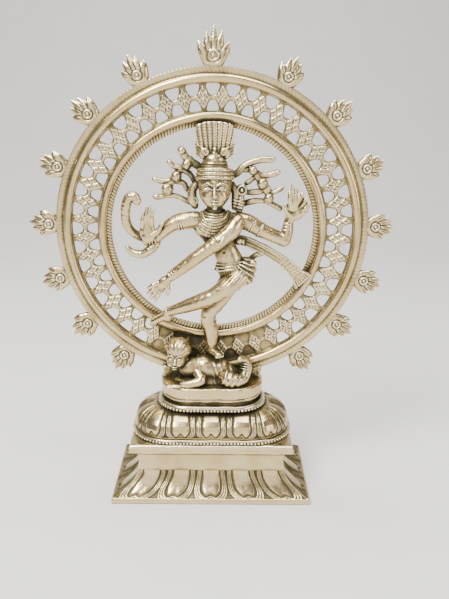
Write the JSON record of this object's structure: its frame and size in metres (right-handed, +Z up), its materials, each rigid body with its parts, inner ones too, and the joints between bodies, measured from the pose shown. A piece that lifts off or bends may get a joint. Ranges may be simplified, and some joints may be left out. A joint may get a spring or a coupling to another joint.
{
  "type": "brass dancing figure statue",
  "caption": "Cast brass dancer inside a pierced ring of flames, standing on a dwarf on a stepped lotus pedestal.",
  "frame": {"origin": "centre of the object's outline on the surface that it stands on", "axes": "+Z up; the dancer faces -Y; +X is the viewer's right when facing the dancer"},
  "size_m": [0.16, 0.0508, 0.2032],
  "materials": {
    "aged_brass": "polished high points with dull olive-grey patina in the recesses",
    "fastener_brass": "plain turned, dull"
  },
  "bodies": {
    "statue": {"cobra": "aged_brass", "crossing_arm": "aged_brass", "dais": "aged_brass", "dais_step": "aged_brass", "diadem": "aged_brass", "dwarf_arm": "aged_brass", "dwarf_body": "aged_brass", "dwarf_head": "aged_brass", "dwarf_legs": "aged_brass", "ear_disc": "aged_brass", "ear_pendant": "aged_brass", "feather_crown": "aged_brass", "fire_arm": "aged_brass", "flame_left_1": "aged_brass", "flame_left_2": "aged_brass", "flame_left_3": "aged_brass", "flame_left_4": "aged_brass", "flame_left_5": "aged_brass", "flame_left_6": "aged_brass", "flame_left_7": "aged_brass", "flame_right_1": "aged_brass", "flame_right_2": "aged_brass", "flame_right_3": "aged_brass", "flame_right_4": "aged_brass", "flame_right_5": "aged_brass", "flame_right_6": "aged_brass", "flame_right_7": "aged_brass", "flame_top": "aged_brass", "hair_left": "aged_brass", "hair_right": "aged_brass", "hand_flame": "aged_brass", "head": "aged_brass", "hip_cloth": "aged_brass", "inner_rim": "aged_brass", "lotus_cushion": "aged_brass", "lotus_foot_beading": "aged_brass", "lotus_neck_beading": "aged_brass", "necklace": "aged_brass", "outer_rim": "aged_brass", "palm_arm": "aged_brass", "plinth": "aged_brass", "raised_leg": "aged_brass", "ring_band": "aged_brass", "ring_foot": "aged_brass", "sash": "aged_brass", "standing_leg": "aged_brass", "tie_nut": "fastener_brass", "tie_stud": "fastener_brass", "tie_washer": "fastener_brass", "torso": "aged_brass"}
  },
  "joints": []
}
